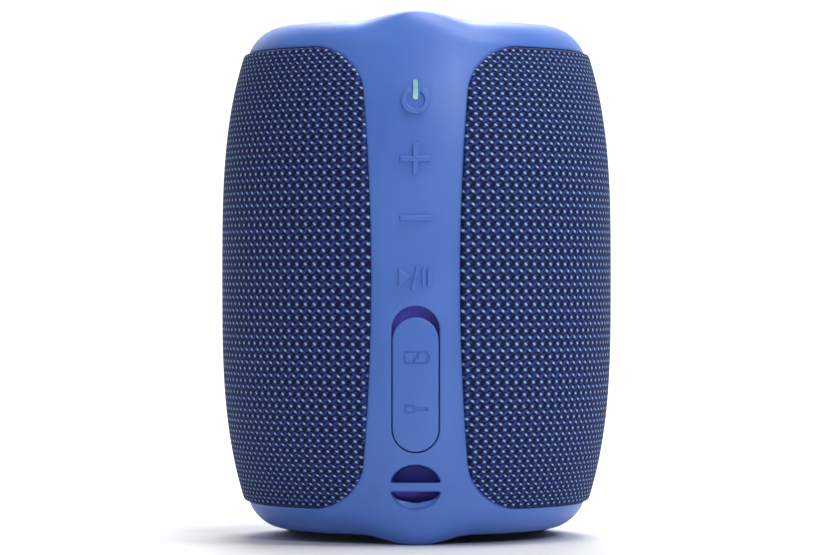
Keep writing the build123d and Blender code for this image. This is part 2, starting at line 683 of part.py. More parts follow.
def driver_basket(z):
    """Flange, windowed cone frame and rear plate."""
    ears = [rod(2.6, BAFFLE_Y + 0.4, BAFFLE_Y + 1.4, x, height)
            for x, height in driver_screw_spots() if height * z > 0]
    basket = spun([(21.8, 41.4), (21.8, 40.4), (22.3, 40.4), (22.3, 38.6), (15.6, 30.2), (15.6, 26.9),
                   (7.7, 26.9), (7.7, 25.6), (16.8, 25.6), (16.8, 29.7), (23.3, 38.0), (23.3, 40.4),
                   (25.6, 40.4), (25.6, 41.4)], z)
    for ear in ears:
        basket += ear - Pos(0, 0, z) * rod(23.5, 30, 50)
    for i in range(4):
        spin = Pos(0, 0, z) * Rot(0, 45 + 90 * i, 0)
        basket -= spin * block((14.5, 30), (31.3, 37.2), (-7, 7))
    for x, height in driver_screw_spots():
        basket -= rod(1.0, 35, 45, x, height)
    return basket


def driver_magnet(z):
    """Yoke, ring magnet and front plate."""
    yoke = spun([(0, 16.0), (14.0, 16.0), (14.0, 18.5), (6.3, 18.5), (6.3, 25.5), (0, 25.5)], z)
    magnet = spun([(9.0, 18.45), (14.5, 18.45), (14.5, 23.55), (9.0, 23.55)], z)
    plate = spun([(7.6, 23.5), (14.0, 23.5), (14.0, 25.55), (7.6, 25.55)], z)
    return yoke + magnet + plate


def driver_cone(z):
    """Cone with its voice-coil former."""
    former_in, former_out = COIL_R - 0.15, COIL_R + 0.2
    cone = spun([(7.2, 34.0), (CONE_R, 40.6), (CONE_R, 41.2), (17.9, 41.2), (7.2, 34.7)], z)
    return cone + spun([(former_in, 24.6), (former_out, 24.6), (former_out, 34.7), (former_in, 34.7)], z)


def dust_cap(z):
    middle = Pos(0, DUST_CAP_FRONT - DUST_CAP_SPHERE, z)
    return middle * (Sphere(DUST_CAP_SPHERE) - Sphere(DUST_CAP_SPHERE - 0.5)) & rod(DUST_CAP_R, 30, 40, z=z)


def driver_surround(z):
    return Pos(0, 0, z) * revolve(roll(CONE_R + 0.05, 21.75, 40.9, 1.9, 0.5), Axis.Y)


def driver_spider(z):
    """Corrugated disc that centres the coil."""
    points = [(COIL_R + 0.25 + i * 0.9, 29.0 + (0.5 if i % 2 else -0.1)) for i in range(10)]
    back = [(r, y - 0.4) for r, y in reversed(points)]
    return spun(points + back, z)


def driver_gaskets():
    low, high = BAFFLE_Y + 0.05, BAFFLE_Y + 0.35
    section = [(23.7, low), (DRIVER_FLANGE_R, low), (DRIVER_FLANGE_R, high), (23.7, high)]
    return Compound(children=[spun(section, z) for z in (-DRIVER_Z, DRIVER_Z)])


def driver_screws():
    screws = [rod(0.9, BAFFLE_Y - BAFFLE_T + 0.5, BAFFLE_Y + 1.5, x, z)
              + rod(1.7, BAFFLE_Y + 1.45, BAFFLE_Y + 2.4, x, z) for x, z in driver_screw_spots()]
    return Compound(children=screws)


# ---------------------------------------------------------------- passive radiators
def radiator_frame():
    return ring(RADIATOR_ROLL_OUT + 0.05, RADIATOR_FRAME_R, PLATE_TOP + 0.05, PLATE_TOP + 2.6)


def radiator_surround():
    section = Plane.XZ * roll(RADIATOR_ROLL_IN, RADIATOR_ROLL_OUT, PLATE_TOP + 1.0, RADIATOR_ROLL_RISE, 0.7)
    return revolve(section, Axis.Z)


def radiator_plate():
    """Weighted plate, dished in the middle."""
    edge_r = RADIATOR_ROLL_IN - 0.05
    low, high = PLATE_TOP + 0.6, PLATE_TOP + 2.4
    return turned_outline([(0, low - 2), (12, low - 2), (12, low), (edge_r, low), (edge_r, high),
                           (19.5, high), (18.0, high - 0.8), (0, high - 0.8)])


# ---------------------------------------------------------------- wiring
def speaker_leads():
    """A pair from the bay's back wall past the cell to each driver's basket."""
    start = BAY_BACK_Y + 0.6
    wires = [lead(0.5, 6, (x, start, 40 * sign), (x, -12, 40 * sign), (x + 1.5, 8, 38 * sign),
                  (x - 0.5, 24, 33 * sign)) for sign in (-1, 1) for x in (17.5, 19.0)]
    return Compound(children=wires)


def battery_leads():
    """Pair from the bay's back wall down to the cell's cap."""
    start = BAY_BACK_Y + 0.6
    wires = [lead(0.6, 3, (x, start, 40), (x, BATTERY_Y, 40), (x, BATTERY_Y, 33.8)) for x in (-1.6, 1.6)]
    return Compound(children=wires)


# ---------------------------------------------------------------- everything
def flipped(shape):
    return mirror(shape, about=Plane.XY)


save("rubber_jacket", rubber_jacket())
save("spine_panel", spine_panel())
save("strap_cup", strap_cup())
save("grille_cloth", grille_cloth())
save("grille_carrier", grille_carrier())

RING = end_ring()
save("end_ring_top", RING)
save("end_ring_bottom", flipped(RING) - strap_envelope())
PLATE = end_plate()
save("end_plate_top", PLATE)
save("end_plate_bottom", flipped(PLATE) - strap_envelope())
save("end_screws", end_screws())

for label in BUTTONS:
    save(f"{label}_button", button(label))
    save(f"{label}_plunger", plunger(label))
save("power_light_pipe", light_pipe())
save("switch_bodies", switch_bodies())
save("button_board", button_board())

save("port_flap", port_flap())
save("flap_tether", flap_tether())
save("usb_socket", usb_socket())
save("aux_socket", aux_socket())
save("port_board", port_board())
save("board_screws", board_screws())

CHAMBER = enclosure()
save("enclosure_front", CHAMBER & block((-60, 60), (-60, 0), (-60, 60)))
save("enclosure_seal", CHAMBER & block((-60, 60), (0.05, 0.55), (-60, 60)))
save("enclosure_rear", CHAMBER & block((-60, 60), (0.6, 60), (-60, 60)))
save("main_board", main_board())
save("board_components", board_components())
save("rf_shield", rf_shield())
save("battery_cell", battery_cell())
save("battery_bracket", battery_bracket())

for label, height in (("upper", DRIVER_Z), ("lower", -DRIVER_Z)):
    save(f"driver_basket_{label}", driver_basket(height))
    save(f"driver_magnet_{label}", driver_magnet(height))
    save(f"driver_cone_{label}", driver_cone(height))
    save(f"dust_cap_{label}", dust_cap(height))
    save(f"driver_surround_{label}", driver_surround(height))
    save(f"driver_spider_{label}", driver_spider(height))
save("driver_gaskets", driver_gaskets())
save("driver_screws", driver_screws())

for label, turn in (("top", lambda shape: shape), ("bottom", flipped)):
    save(f"radiator_frame_{label}", turn(radiator_frame()))
    save(f"radiator_surround_{label}", turn(radiator_surround()))
    save(f"radiator_plate_{label}", turn(radiator_plate()))

save("speaker_leads", speaker_leads())
save("battery_leads", battery_leads())
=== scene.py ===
import json
import math

import bpy
import numpy as np
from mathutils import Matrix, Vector


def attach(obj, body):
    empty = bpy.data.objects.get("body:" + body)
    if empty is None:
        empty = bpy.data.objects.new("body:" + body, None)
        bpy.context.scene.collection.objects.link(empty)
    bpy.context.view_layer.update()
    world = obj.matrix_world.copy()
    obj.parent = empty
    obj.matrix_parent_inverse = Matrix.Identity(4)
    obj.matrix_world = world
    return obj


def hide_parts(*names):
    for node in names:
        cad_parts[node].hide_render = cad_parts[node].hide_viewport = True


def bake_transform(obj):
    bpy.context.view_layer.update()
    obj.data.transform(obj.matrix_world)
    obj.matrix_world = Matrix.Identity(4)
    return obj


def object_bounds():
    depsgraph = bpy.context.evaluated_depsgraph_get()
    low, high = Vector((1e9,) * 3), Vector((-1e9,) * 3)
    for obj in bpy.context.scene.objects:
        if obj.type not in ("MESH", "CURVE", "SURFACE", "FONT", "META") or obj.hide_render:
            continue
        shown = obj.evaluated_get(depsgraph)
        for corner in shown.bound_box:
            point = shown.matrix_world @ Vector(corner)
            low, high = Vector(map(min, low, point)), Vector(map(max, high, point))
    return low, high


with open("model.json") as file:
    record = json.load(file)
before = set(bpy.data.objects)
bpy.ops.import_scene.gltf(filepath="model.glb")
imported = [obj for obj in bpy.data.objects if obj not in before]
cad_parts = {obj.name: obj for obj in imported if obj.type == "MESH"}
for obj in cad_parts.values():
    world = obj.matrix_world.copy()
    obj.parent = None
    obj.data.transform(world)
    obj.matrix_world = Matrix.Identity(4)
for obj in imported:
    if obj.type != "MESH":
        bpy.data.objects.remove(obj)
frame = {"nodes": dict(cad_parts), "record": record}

CAD_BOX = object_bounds()
NODES = frame["nodes"]
MM = 0.001

# ---------------------------------------------------------------- the barrel, mm, heights from its middle
MIDDLE = (CAD_BOX[0][2] + CAD_BOX[1][2]) / 2 / MM
BARREL_R = 54.25
BARREL_DROP = 5.85
BARREL_AT = 60.75
BARREL_POWER = 3.2
JACKET_DEPTH = 1.2
JACKET_T = 1.2
CLOTH_HALF = 62.0
SEAM = 0.25
CAP_FROM = CLOTH_HALF + 0.3
SPINE_WAIST = 12.3
SPINE_FLARE = 15.6
SPINE_CORNER_R = 12.0
RIM_Z = 69.55
RIM_R = 37.5
RIM_INNER_R = 36.9
RECESS_R = 35.0
LIP_Z = 63.0
LOBE_RISE = 2.6
LOBE_R = 39.4
LOBE_SPREAD = 24.0
LOBES = (0.0, 120.0, -120.0)
FOOT_Z = 72.0

WELL_HALF_W = 6.5
WELL_TOP = -7.5
WELL_BOTTOM = -46.8
FLAP_GAP = 0.3
FLAP_TOP = -10.6
FLAP_DEPTH = 1.25
SIGN_DEPTH = 0.4
STRAP_Z = -56.0
STRAP_HALF_W = 7.05
STRAP_HALF_H = 6.1
STRAP_BAR = 2.35

BUTTON_PITCH = 15.8
GLYPH_SIZE = 8.2
GLYPH_STROKE = 1.35
RING_SIZE = 7.6
GLYPH_RISE = 0.7
GLYPH_EDGE = 0.12
LIGHT_LENGTH = 5.5
LIGHT_W = 1.4
KEY_HALF_ANGLE = 6.0
KEY_SPANS = {"power": (42.4, 54.0), "volume_up": (26.2, 37.0), "volume_down": (10.4, 21.2),
             "play_pause": (-5.4, 5.4)}
KEY_Z = {"power": 3 * BUTTON_PITCH, "volume_up": 2 * BUTTON_PITCH, "volume_down": BUTTON_PITCH,
         "play_pause": 0.0}
CHARGE_SIGN_Z = -21.3
AUDIO_SIGN_Z = -35.0

# the visual skins, mm and degrees
SPINE_ANGLE = 36.0  # the spine lies within this angle each side of the front
SPINE_CELL = 0.4
KEY_CELL = 0.07
FLAP_CELL = 0.1
CLOTH_CELL = 0.5
EDGE_FILLET = 0.4
LIGHT_GAP = 0.04
FLAP_T = 2.3

# the weave
DOT_ANGLE = 3.0
ROW_REACH = 74.0
ROW_TURN = 0.0243
STITCH_LEAN = 38
STITCH_LENGTH = 0.78
STITCH_W = 0.48

# camera, level with the barrel's middle, m and mm
CAMERA_LENS = 166.8
CAMERA_AWAY = 1.079
CAMERA_SIDE = 0.0054


def barrel_r(z, depth=0.0):
    return BARREL_R - BARREL_DROP * (np.abs(z) / BARREL_AT) ** BARREL_POWER - depth


# ---------------------------------------------------------------- signed distances in the front view, mm
def rounded_both(a, b, radius):
    """Distance to the overlap of two regions, with its corners rounded."""
    a, b = a + radius, b + radius
    return np.hypot(np.maximum(a, 0), np.maximum(b, 0)) + np.minimum(np.maximum(a, b), 0) - radius


def box_distance(x, z, half_w, half_h):
    return rounded_both(np.abs(x) - half_w, np.abs(z) - half_h, 0.0)


def pill_distance(x, z, half_w, top, bottom):
    nearest = np.clip(z, bottom + half_w, top - half_w)
    return np.hypot(x, z - nearest) - half_w


def cloth_distance(x, y, z, margin):
    """Negative behind the cloth, which covers both sides of the spine and the whole back."""
    half = CLOTH_HALF + margin
    waist, flare = SPINE_WAIST - margin, SPINE_FLARE - margin
    bow = flare - waist
    arc_r = (half ** 2 + bow ** 2) / (2 * bow)
    side = np.hypot(np.abs(x) - waist - arc_r, z) - arc_r
    ends = np.abs(z) - half
    front = rounded_both(side, ends, SPINE_CORNER_R + margin)
    return np.where(y < 0, front, ends)


def strap_distance(x, z):
    z = z - STRAP_Z
    lens = (np.hypot(x / STRAP_HALF_W, z / STRAP_HALF_H) - 1) * STRAP_HALF_H
    return rounded_both(lens, STRAP_BAR / 2 - np.abs(z), 0.7)


def ring_distance(x, z):
    reach = np.hypot(x, z)
    ring = np.abs(reach - RING_SIZE / 2 + GLYPH_STROKE / 2) - GLYPH_STROKE / 2
    gap = reach * (math.radians(30) - np.abs(np.arctan2(x, z)))
    return rounded_both(ring, gap, 0.3)


def light_distance(x, z):
    return pill_distance(x, z, LIGHT_W / 2, LIGHT_LENGTH, 0.0)


def plus_distance(x, z):
    return np.minimum(box_distance(x, z, GLYPH_SIZE / 2, GLYPH_STROKE / 2),
                      box_distance(x, z, GLYPH_STROKE / 2, GLYPH_SIZE / 2))


def minus_distance(x, z):
    return box_distance(x, z, GLYPH_SIZE / 2, GLYPH_STROKE / 2)


def triangle_distance(x, z, left, right, half):
    length = math.hypot(right - left, half)
    slope = ((x - left) * half + (np.abs(z) - half) * (right - left)) / length
    return np.maximum(left - x, slope)


def play_distance(x, z):
    half = 2.45
    lean = 0.24
    triangle = triangle_distance(x, z, -4.5, -1.25, half)
    slash = box_distance((x + 0.05 - lean * z) * math.cos(math.atan(lean)), z, 0.42, 3.3)
    bars = np.minimum(box_distance(x - 2.2, z, 0.45, half), box_distance(x - 3.65, z, 0.45, half))
    return np.minimum(np.minimum(triangle, slash), bars)


GLYPHS = {"power": ring_distance, "volume_up": plus_distance, "volume_down": minus_distance,
          "play_pause": play_distance}


# ---------------------------------------------------------------- mesh helpers
def smoothstep(t):
    """Eases from 0 to 1."""
    t = np.clip(t, 0, 1)
    return t * t * (3 - 2 * t)


def mesh_piece(name, points, faces, body="housing"):
    """A smooth-shaded piece from points in mm above the floor's middle plane."""
    mesh = bpy.data.meshes.new(name)
    mesh.from_pydata([tuple(p) for p in np.asarray(points) * MM], [], [tuple(f) for f in faces])
    mesh.update()
    mesh.shade_smooth()
    piece = bpy.data.objects.new(name, mesh)
    bpy.context.scene.collection.objects.link(piece)
    if body:
        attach(piece, body)
    return piece


def around(angle, radius, z):
    """Points at an angle in degrees from the spine, positive towards +X."""
    a, radius, z = np.broadcast_arrays(np.radians(angle), radius, z)
    return np.stack([radius * np.sin(a), -radius * np.cos(a), z + MIDDLE], axis=-1)


def rise_share(angle):
    share = 0.0
    for lobe in LOBES:
        off = np.abs((angle - lobe + 180) % 360 - 180)
        share = share + np.cos(np.pi / 2 * np.minimum(off / LOBE_SPREAD, 1)) ** 2
    return share


def cap_profile(share):
    """Radii and heights from the cloth's end over the rim down to the lip, for one share of lobe rise."""
    slope = -BARREL_POWER * BARREL_DROP / BARREL_AT * (CAP_FROM / BARREL_AT) ** (BARREL_POWER - 1)
    start = np.array([barrel_r(CAP_FROM, JACKET_DEPTH), CAP_FROM])
    top = np.array([RIM_R + (LOBE_R - RIM_R) * share, RIM_Z + LOBE_RISE * share])
    handle = np.hypot(*(top - start)) / 3
    up = np.array([slope, 1]) / math.hypot(slope, 1)
    a, b = start + up * handle, top + np.array([handle, 0])
    t = np.linspace(0, 1, 25)[1:, None]
    bend = (1 - t) ** 3 * start + 3 * (1 - t) ** 2 * t * a + 3 * (1 - t) * t ** 2 * b + t ** 3 * top
    flat = np.array([[top[0] + (RIM_INNER_R - top[0]) * k / 4, top[1]] for k in range(1, 5)])
    round_r = RIM_INNER_R - RECESS_R
    turn = np.radians(np.linspace(0, 90, 9)[1:])
    inner_rs = RIM_INNER_R - round_r * np.sin(turn)
    inner_zs = top[1] - round_r + round_r * np.cos(turn)
    inner = np.stack([inner_rs, inner_zs], axis=1)
    wall = np.array([[RECESS_R, inner[-1, 1] + (LIP_Z - inner[-1, 1]) * k / 5] for k in range(1, 6)])
    profile = np.vstack([bend, flat, inner, wall])
    over = np.maximum(profile[:, 1] - (FOOT_Z - 0.3), 0)
    profile[:, 1] = np.where(over > 0, FOOT_Z - 0.3 + 0.3 * np.tanh(over / 0.3), profile[:, 1])
    return profile


class Skin:
    """A surface over angle and height, sunk by depth under the cloth's face, from which holes are cut."""

    def __init__(self, depth, holes, fillet):
        self.depth = depth
        self.holes = holes
        self.fillet = fillet

    def place(self, angle, z, sink=0.0):
        return around(angle, barrel_r(z, self.depth + sink), z)

    def distance(self, angle, z):
        p = self.place(angle, z)
        return self.holes(p[..., 0], p[..., 1], p[..., 2] - MIDDLE)

    def gradient(self, angle, z):
        """Change of the distance per mm along the angle and along the height."""
        step = 0.01
        arc = np.degrees(step / barrel_r(z, self.depth))
        da = (self.distance(angle + arc, z) - self.distance(angle - arc, z)) / (2 * step)
        dz = (self.distance(angle, z + step) - self.distance(angle, z - step)) / (2 * step)
        return da, dz

    def move(self, angle, z, amount):
        """Angles and heights moved by this much of distance, away from the holes."""
        da, dz = self.gradient(angle, z)
        size = np.maximum(np.hypot(da, dz), 0.2) ** 2
        return angle + np.degrees(amount * da / size / barrel_r(z, self.depth)), z + amount * dz / size


def boundary_edges(faces):
    """Edges that one face uses and no other, in that face's direction."""
    edges = set()
    for face in faces:
        for edge in zip(face, face[1:] + face[:1]):
            if edge[::-1] in edges:
                edges.remove(edge[::-1])
            else:
                edges.add(edge)
    return sorted(edges)


def cut_skin(skin, points, angles, heights, faces, wall, cell, steps=4, lean=None):
    """Drops faces over holes, pulls the cut onto the fillet's start, adds the fillet's and wall's rows."""
    distance = skin.holes(points[:, 0], points[:, 1], points[:, 2] - MIDDLE)
    keep = distance > skin.fillet - cell / 2
    faces = [f for f in faces if all(keep[i] for i in f)]
    off_skin = np.abs(np.hypot(points[:, 0], points[:, 1]) - barrel_r(heights, skin.depth))
    near = (distance < skin.fillet + 3 * cell) & (off_skin < 1.0)
    edges = [e for e in boundary_edges(faces) if near[e[0]] and near[e[1]]]
    rim = sorted({i for e in edges for i in e})
    a, z = angles[rim], heights[rim]
    for _ in range(5):
        a, z = skin.move(a, z, skin.fillet - skin.distance(a, z))
    points[rim] = skin.place(a, z)
    blocks, previous, count = [points], {i: i for i in rim}, len(points)
    turns = np.radians(np.linspace(0, 90, steps + 1)[1:])
    rows = [(skin.fillet * math.sin(t), skin.fillet * (1 - math.cos(t))) for t in turns]
    rows += [(skin.fillet, skin.fillet + (wall - skin.fillet) * k / 2) for k in (1, 2)]
    slope = 0.0 if lean is None else lean(a, z)
    for across, down in rows:
        aa, zz = skin.move(a, z, -across - slope * max(down - skin.fillet, 0))
        blocks.append(skin.place(aa, zz, down))
        now = {i: count + k for k, i in enumerate(rim)}
        faces += [(previous[q], previous[p], now[p], now[q]) for p, q in edges]
        previous = now
        count += len(rim)
    return compact(np.vstack(blocks), faces)


def compact(points, faces):
    """Leaves out the points that no face uses."""
    used = np.unique(np.concatenate([np.asarray(f) for f in faces]))
    index = np.full(len(points), -1)
    index[used] = np.arange(len(used))
    return points[used], [tuple(index[list(f)]) for f in faces]


def grid_faces(rows, columns, keep=None, closed=False):
    """Quads of a grid whose point (i, j) has index i * columns + j; keep(i, j) picks cells."""
    out = []
    for i in range(rows - 1):
        for j in range(columns if closed else columns - 1):
            if keep is None or keep(i, j):
                k = (j + 1) % columns
                out.append((i * columns + j, i * columns + k, (i + 1) * columns + k, (i + 1) * columns + j))
    return out


# ---------------------------------------------------------------- node materials
class Nodes:
    """Short hand for building one material's nodes."""

    def __init__(self, name, colour, roughness, **sockets):
        self.material = bpy.data.materials.new(name)
        self.material.use_nodes = True
        self.tree = self.material.node_tree
        self.shader = self.tree.nodes["Principled BSDF"]
        self.set(self.shader, "Base Color", colour)
        self.set(self.shader, "Roughness", roughness)
        for key, value in sockets.items():
            self.set(self.shader, key.replace("_", " "), value)

    def set(self, node, socket, value):
        if isinstance(value, bpy.types.NodeSocket):
            self.tree.links.new(value, node.inputs[socket])
        elif isinstance(value, (tuple, list)) and len(value) == 3 and node.inputs[socket].type == "RGBA":
            node.inputs[socket].default_value = (*value, 1)
        else:
            node.inputs[socket].default_value = value

    def add(self, kind, output=0, props=None, **inputs):
        node = self.tree.nodes.new(kind)
        for key, value in (props or {}).items():
            setattr(node, key, value)
        for key, value in inputs.items():
            index = int(key[1:]) if key[0] == "i" and key[1:].isdigit() else key.replace("_", " ")
            self.set(node, index, value)
        return node.outputs[output]

    def math(self, operation, a, b=0.0, c=0.0):
        return self.add("ShaderNodeMath", props={"operation": operation}, i0=a, i1=b, i2=c)

    def ramp(self, value, *stops):
        node = self.tree.nodes.new("ShaderNodeValToRGB")
        self.set(node, "Fac", value)
        while len(node.color_ramp.elements) < len(stops):
            node.color_ramp.elements.new(0.5)
        for element, (at, colour) in zip(node.color_ramp.elements, stops):
            element.position = at
            element.color = (*colour, 1) if len(colour) == 3 else colour
        return node.outputs["Color"]

    def noise(self, scale, detail=3.0, roughness=0.5, space="Object"):
        spot = self.add("ShaderNodeTexCoord", output=space)
        return self.add("ShaderNodeTexNoise", Vector=spot, Scale=scale, Detail=detail, Roughness=roughness)

    def bump(self, height, distance, strength=1.0, normal=None):
        inputs = {"Height": height, "Distance": distance, "Strength": strength}
        if normal is not None:
            inputs["Normal"] = normal
        return self.add("ShaderNodeBump", **inputs)


# ---------------------------------------------------------------- rubber pieces
def spine_holes(x, y, z):
    front = np.where(y < 0, 0.0, 1000.0)
    pocket = pill_distance(x, z, WELL_HALF_W, WELL_TOP, WELL_BOTTOM) + front
    strap = strap_distance(x, z) + front
    return np.minimum(np.minimum(cloth_distance(x, y, z, SEAM), pocket), strap)


def strap_lean(angle, z):
    """Slope of the strap slot's lower wall, which leans inwards; the other walls are straight."""
    below = np.clip((STRAP_Z - STRAP_BAR / 2 - 0.8 - z) / 4.1, 0, 1) ** 1.5
    return np.where((np.abs(angle) < 12) & (z > STRAP_Z - STRAP_HALF_H - 2), 1.9 * below, 0.0)


def make_jacket():
    """Both caps and the spine as one skin, with rounded edges at cloth, pocket and strap slot."""
    fine = np.arange(-SPINE_ANGLE, SPINE_ANGLE + 0.01, SPINE_CELL)
    coarse = np.arange(SPINE_ANGLE + 1.2, 360 - SPINE_ANGLE - 0.6, 1.2)
    columns = np.concatenate([fine, coarse])
    stops = sorted({-CAP_FROM, CAP_FROM, *[edge for span in KEY_SPANS.values() for edge in span]})
    heights = [np.linspace(a, b, max(int((b - a) / 0.5), 1) + 1)[:-1] for a, b in zip(stops, stops[1:])]
    heights = np.concatenate(heights + [[CAP_FROM]])
    caps = np.stack([cap_profile(rise_share(a)) for a in columns], axis=1)
    rows = [around(columns, cap[:, 0], -cap[:, 1]) for cap in caps[::-1]]
    rows += [around(columns, barrel_r(z, JACKET_DEPTH), z) for z in heights]
    rows += [around(columns, cap[:, 0], cap[:, 1]) for cap in caps]
    levels = np.concatenate([-caps[::-1, :, 1], np.tile(heights[:, None], len(columns)), caps[:, :, 1]])
    angles = np.tile(columns, len(rows))
    cap_rows, skin_rows = len(caps), len(heights)

    def keep(i, j):
        if not cap_rows <= i < cap_rows + skin_rows - 1:
            return True
        if j >= len(fine) - 1:
            return False
        low, middle = heights[i - cap_rows], (fine[j] + fine[j + 1]) / 2
        inside = any(a - 0.01 <= low < b - 0.01 for a, b in KEY_SPANS.values())
        return not (inside and abs(middle) < KEY_HALF_ANGLE)

    faces = grid_faces(len(rows), len(columns), keep, closed=True)
    skin = Skin(JACKET_DEPTH, spine_holes, EDGE_FILLET)
    points, faces = cut_skin(skin, np.concatenate(rows), angles, levels.ravel(), faces, JACKET_T + 0.1,
                             SPINE_CELL, lean=strap_lean)
    jacket = mesh_piece("jacket_skin", points, faces)
    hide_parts("rubber_jacket")
    return jacket


def behind(node, depth):
    """Points and faces of a CAD node that lie deeper than this under the cloth's face, in mm."""
    mesh = NODES[node].data
    co = np.array([v.co for v in mesh.vertices]) / MM
    deep = np.hypot(co[:, 0], co[:, 1]) < barrel_r(co[:, 2] - MIDDLE, depth)
    return co, [tuple(p.vertices) for p in mesh.polygons if all(deep[i] for i in p.vertices)]


def make_key(name):
    """One key: its glyph stands out of the spine, with the CAD key's pad behind."""
    low, high = KEY_SPANS[name]
    columns = np.linspace(-KEY_HALF_ANGLE, KEY_HALF_ANGLE, int(11 / KEY_CELL))
    heights = np.linspace(low, high, int((high - low) / KEY_CELL))
    angles, levels = (g.ravel() for g in np.meshgrid(columns, heights))
    flat = around(angles, barrel_r(levels, JACKET_DEPTH), levels)
    share = smoothstep(0.5 - GLYPHS[name](flat[:, 0], levels - KEY_Z[name]) / GLYPH_EDGE)
    points = around(angles, barrel_r(levels, JACKET_DEPTH) + GLYPH_RISE * share, levels)
    faces = grid_faces(len(heights), len(columns))
    if name == "power":
        skin = Skin(JACKET_DEPTH, lambda x, y, z: light_distance(x, z - KEY_Z[name]) - LIGHT_GAP, 0.15)
        points, faces = cut_skin(skin, points, angles, levels, faces, 0.9, KEY_CELL)
        sign = GLYPHS[name](points[:, 0], points[:, 2] - MIDDLE - KEY_Z[name])
        share = smoothstep(0.5 - sign / GLYPH_EDGE)
    pad_points, pad_faces = behind(f"{name}_button", JACKET_DEPTH + 1.25)
    faces += [tuple(i + len(points) for i in f) for f in pad_faces]
    weights = np.concatenate([share, np.ones(len(pad_points))])
    points, faces, weights = compact_with(np.vstack([points, pad_points]), faces, weights)
    key = mesh_piece(f"{name}_key", points, faces, body=None)
    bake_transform(key)
    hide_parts(f"{name}_button")
    return key


def compact_with(points, faces, values):
    used = np.unique(np.concatenate([np.asarray(f) for f in faces]))
    small, faces = compact(points, faces)
    return small, faces, values[used]


def battery_sign(x, z):
    case = np.abs(box_distance(x, z, 3.0, 1.5)) - 0.26
    knob = box_distance(x - 3.5, z, 0.25, 0.7)
    upper = np.hypot(x - 0.1 - 0.5 * z, np.maximum(np.abs(z - 0.5) - 0.5, 0)) - 0.24
    lower = np.hypot(x + 0.1 - 0.5 * z, np.maximum(np.abs(z + 0.5) - 0.5, 0)) - 0.24
    middle = np.hypot(np.maximum(np.abs(x) - 0.5, 0), z) - 0.24
    return np.minimum(np.minimum(np.minimum(case, knob), middle), np.minimum(upper, lower))


def jack_sign(x, z):
    body = np.abs(box_distance(x + 1.7, z, 1.2, 0.9)) - 0.26
    pin = box_distance(x - 1.0, z, 1.4, 0.4)
    tip = box_distance(x - 2.95, z, 0.25, 0.4)
    return np.minimum(body, np.minimum(pin, tip))


def make_flap(usb_z, aux_z):
    """The flap's outer face with rounded edges and sunk signs, and the CAD flap's back."""
    low, high = WELL_BOTTOM + FLAP_GAP, FLAP_TOP
    half = WELL_HALF_W - FLAP_GAP
    reach = math.degrees(half / (BARREL_R - FLAP_DEPTH - 4)) + 0.2
    columns = np.linspace(-reach, reach, int(2 * half / FLAP_CELL) + 4)
    heights = np.arange(low - 0.3, high + 0.3, FLAP_CELL)
    angles, levels = (g.ravel() for g in np.meshgrid(columns, heights))
    flat = around(angles, barrel_r(levels, FLAP_DEPTH), levels)
    signs = np.minimum(battery_sign(flat[:, 0], levels - usb_z), jack_sign(flat[:, 0], levels - aux_z))
    sink = SIGN_DEPTH * smoothstep(0.5 - signs / 0.2)
    points = around(angles, barrel_r(levels, FLAP_DEPTH + sink), levels)
    skin = Skin(FLAP_DEPTH, lambda x, y, z: -pill_distance(x, z, half, high, low), EDGE_FILLET)
    faces = grid_faces(len(heights), len(columns))
    points, faces = cut_skin(skin, points, angles, levels, faces, FLAP_T, FLAP_CELL)
    back_points, back_faces = behind("port_flap", FLAP_DEPTH + 2.0)
    faces += [tuple(i + len(points) for i in f) for f in back_faces]
    points, faces = compact(np.vstack([points, back_points]), faces)
    flap = mesh_piece("flap_skin", points, faces, "flap")
    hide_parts("port_flap")
    return flap


# ---------------------------------------------------------------- cloth
def make_cloth():
    """The cloth round the sides and back, its edges rolled down into the seam."""
    columns = np.arange(0, 360, 0.6)
    heights = np.linspace(-CLOTH_HALF - 0.5, CLOTH_HALF + 0.5, 251)
    angles, levels = (g.ravel() for g in np.meshgrid(columns, heights))
    points = around(angles, barrel_r(levels), levels)
    skin = Skin(0.0, lambda x, y, z: -cloth_distance(x, y, z, 0.0), 0.7)
    faces = grid_faces(len(heights), len(columns), closed=True)
    points, faces = cut_skin(skin, points, angles, levels, faces, 1.6, CLOTH_CELL, steps=6)
    cloth = mesh_piece("woven_cloth", points, faces)
    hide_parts("grille_cloth")
    store_weave(cloth)
    return cloth


def store_weave(cloth):
    """Each point's place in the weave: dots counted round the barrel and rows counted up it."""
    co = np.array([v.co for v in cloth.data.vertices]) / MM
    angle = np.degrees(np.arctan2(co[:, 0], -co[:, 1])) % 360
    row = np.arcsin(np.clip((co[:, 2] - MIDDLE) / ROW_REACH, -1, 1)) / ROW_TURN
    weave = np.stack([angle / DOT_ANGLE, row, np.zeros(len(co))], axis=1)
    cloth.data.attributes.new("weave", "FLOAT_VECTOR", "POINT").data.foreach_set("vector", weave.ravel())


# ---------------------------------------------------------------- floor
def make_floor():
    """Pale floor that curves up into a backdrop, far larger than the object."""
    profile = [(-3.0, 0.0), (1.2, 0.0)]
    profile += [(1.2 + 0.8 * math.sin(t), 0.8 - 0.8 * math.cos(t)) for t in np.radians(range(6, 91, 6))]
    profile += [(2.0, 3.5)]
    points = [(x, y, z) for y, z in profile for x in (-4, 4)]
    faces = grid_faces(len(profile), 2)
    floor = mesh_piece("floor", np.array(points) / MM, faces, body=None)
    floor.data.materials.append(plain("floor", (0.80, 0.80, 0.81), 0.6))
    return floor


def plain(name, colour, roughness):
    """Even material for the floor, with a trace of grain."""
    n = Nodes(name, colour, roughness)
    n.set(n.shader, "Normal", n.bump(n.noise(400), 0.00002))
    return n.material


